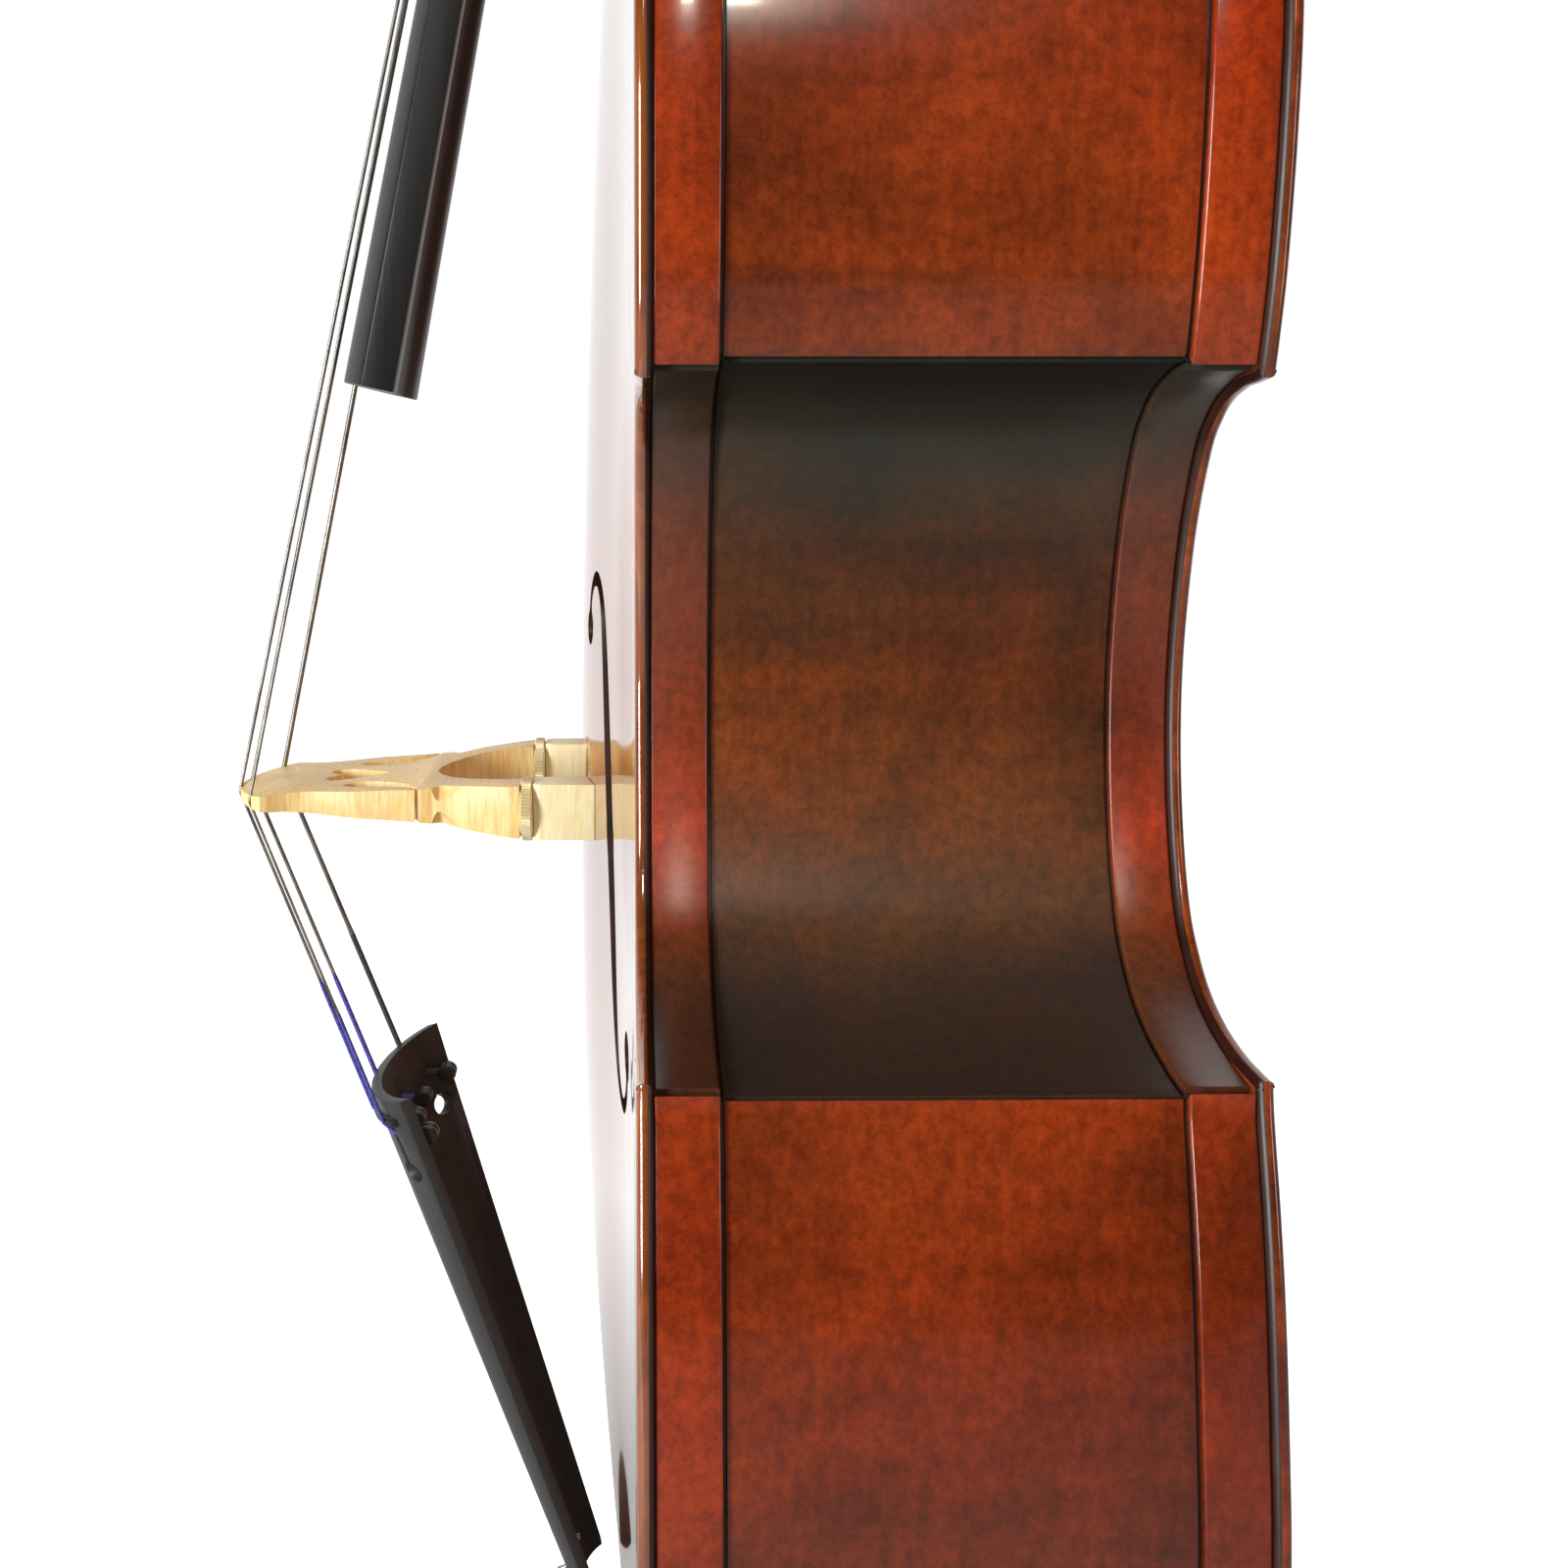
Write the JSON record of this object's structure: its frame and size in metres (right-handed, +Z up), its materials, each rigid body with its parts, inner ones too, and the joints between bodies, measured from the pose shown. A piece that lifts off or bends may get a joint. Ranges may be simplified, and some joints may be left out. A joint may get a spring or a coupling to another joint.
{
  "type": "double bass",
  "caption": "Upright bass violin with arched plates, outside linings, tall adjustable bridge, geared tuners and sliding endpin.",
  "frame": {"origin": "middle of the endpin's rubber foot, where it stands on the floor", "axes": "+Z up along the body's length, -Y the way the belly faces, +X the treble (G string) side"},
  "size_m": [0.6678, 0.4472, 1.9381],
  "materials": {
    "spruce_top": "gloss orange varnish over spruce",
    "maple_back": "gloss red-brown varnish over maple",
    "maple_ribs": "gloss red-brown varnish over maple",
    "maple_linings": "gloss red-orange varnish over maple",
    "bare_spruce": "bare",
    "neck_maple": "satin varnish",
    "ebony": "oiled satin",
    "bridge_maple": "bare, polished",
    "wheel_metal": "satin",
    "brass": "polished, slightly tarnished",
    "steel": "satin",
    "string_steel": "flat-wound, satin",
    "rubber": "matt"
  },
  "bodies": {
    "instrument": {"belly": "spruce_top", "back": "maple_back", "rib_upper_treble": "maple_ribs", "lining_front_upper_treble": "maple_linings", "lining_back_upper_treble": "maple_linings", "rib_middle_treble": "maple_ribs", "lining_front_middle_treble": "maple_linings", "lining_back_middle_treble": "maple_linings", "rib_lower_treble": "maple_ribs", "lining_front_lower_treble": "maple_linings", "lining_back_lower_treble": "maple_linings", "corner_block_upper_treble": "bare_spruce", "corner_block_lower_treble": "bare_spruce", "tuner_plate_treble": "brass", "bridge_foot_treble": "bridge_maple", "rib_upper_bass": "maple_ribs", "lining_front_upper_bass": "maple_linings", "lining_back_upper_bass": "maple_linings", "rib_middle_bass": "maple_ribs", "lining_front_middle_bass": "maple_linings", "lining_back_middle_bass": "maple_linings", "rib_lower_bass": "maple_ribs", "lining_front_lower_bass": "maple_linings", "lining_back_lower_bass": "maple_linings", "corner_block_upper_bass": "bare_spruce", "corner_block_lower_bass": "bare_spruce", "tuner_plate_bass": "brass", "bridge_foot_bass": "bridge_maple", "neck_block": "bare_spruce", "end_block": "bare_spruce", "bass_bar": "bare_spruce", "sound_post": "bare_spruce", "saddle": "ebony", "neck": "neck_maple", "fingerboard": "ebony", "nut": "ebony", "tailpiece": "ebony", "tailpiece_fret": "ebony", "tail_wire": "steel", "string_g": "string_steel", "string_d": "string_steel", "string_a": "string_steel", "string_e": "string_steel", "endpin_collar": "ebony"},
    "tuner_g_roller": {"tuner_roller_g": "brass"},
    "tuner_g_worm": {"tuner_worm_g": "brass"},
    "tuner_d_roller": {"tuner_roller_d": "brass"},
    "tuner_d_worm": {"tuner_worm_d": "brass"},
    "tuner_a_roller": {"tuner_roller_a": "brass"},
    "tuner_a_worm": {"tuner_worm_a": "brass"},
    "tuner_e_roller": {"tuner_roller_e": "brass"},
    "tuner_e_worm": {"tuner_worm_e": "brass"},
    "bridge": {"bridge": "bridge_maple"},
    "wheel_treble": {"adjuster_wheel_treble": "wheel_metal"},
    "wheel_bass": {"adjuster_wheel_bass": "wheel_metal"},
    "endpin": {"endpin_rod": "steel", "endpin_tip": "rubber"},
    "endpin_screw": {"endpin_screw": "steel"}
  },
  "joints": [
    {"name": "roller_g_spin", "type": "hinge", "parent": "instrument", "child": "tuner_g_roller", "pos_m": [0, -0.02543, 1.73445], "axis": [1, 0, 0], "range_deg": [-36, 36]},
    {"name": "key_g_spin", "type": "hinge", "parent": "instrument", "child": "tuner_g_worm", "pos_m": [0.037, -0.01758, 1.75532], "axis": [0, 0.9361, -0.3518], "range_deg": [-720, 720]},
    {"name": "roller_d_spin", "type": "hinge", "parent": "instrument", "child": "tuner_d_roller", "pos_m": [0, -0.00009, 1.80184], "axis": [1, 0, 0], "range_deg": [-36, 36]},
    {"name": "key_d_spin", "type": "hinge", "parent": "instrument", "child": "tuner_d_worm", "pos_m": [0.037, 0.00775, 1.82272], "axis": [0, 0.9361, -0.3518], "range_deg": [-720, 720]},
    {"name": "roller_a_spin", "type": "hinge", "parent": "instrument", "child": "tuner_a_roller", "pos_m": [0, 0.01257, 1.83554], "axis": [1, 0, 0], "range_deg": [-36, 36]},
    {"name": "key_a_spin", "type": "hinge", "parent": "instrument", "child": "tuner_a_worm", "pos_m": [-0.037, 0.02042, 1.85641], "axis": [0, 0.9361, -0.3518], "range_deg": [-720, 720]},
    {"name": "roller_e_spin", "type": "hinge", "parent": "instrument", "child": "tuner_e_roller", "pos_m": [0, -0.01276, 1.76814], "axis": [1, 0, 0], "range_deg": [-36, 36]},
    {"name": "key_e_spin", "type": "hinge", "parent": "instrument", "child": "tuner_e_worm", "pos_m": [-0.037, -0.00491, 1.78902], "axis": [0, 0.9361, -0.3518], "range_deg": [-720, 720]},
    {"name": "bridge_lift", "type": "slide", "parent": "instrument", "child": "bridge", "axis": [0, -1, 0], "range_m": [0, 0.004], "deforming": ["string_g", "string_d", "string_a", "string_e"]},
    {"name": "wheel_treble_turn", "type": "hinge", "parent": "instrument", "child": "wheel_treble", "pos_m": [0.056, -0.16295, 0.685], "axis": [0, -1, 0], "range_deg": [0, 1160]},
    {"name": "wheel_bass_turn", "type": "hinge", "parent": "instrument", "child": "wheel_bass", "pos_m": [-0.056, -0.16295, 0.685], "axis": [0, -1, 0], "range_deg": [0, 1160]},
    {"name": "endpin_slide", "type": "slide", "parent": "instrument", "child": "endpin", "axis": [0, 0, 1], "range_m": [0, 0.1]},
    {"name": "endpin_screw_turn", "type": "hinge", "parent": "instrument", "child": "endpin_screw", "pos_m": [0.027, 0, 0.156], "axis": [1, 0, 0], "range_deg": [-180, 180]}
  ],
  "couplings": [
    {"joint": "key_g_spin", "follows": "roller_g_spin", "ratio": 20},
    {"joint": "key_d_spin", "follows": "roller_d_spin", "ratio": 20},
    {"joint": "key_a_spin", "follows": "roller_a_spin", "ratio": -20},
    {"joint": "key_e_spin", "follows": "roller_e_spin", "ratio": -20},
    {"joint": "wheel_treble_turn", "follows": "bridge_lift", "rad_per_m": 5026.5},
    {"joint": "wheel_bass_turn", "follows": "bridge_lift", "rad_per_m": 5026.5}
  ]
}
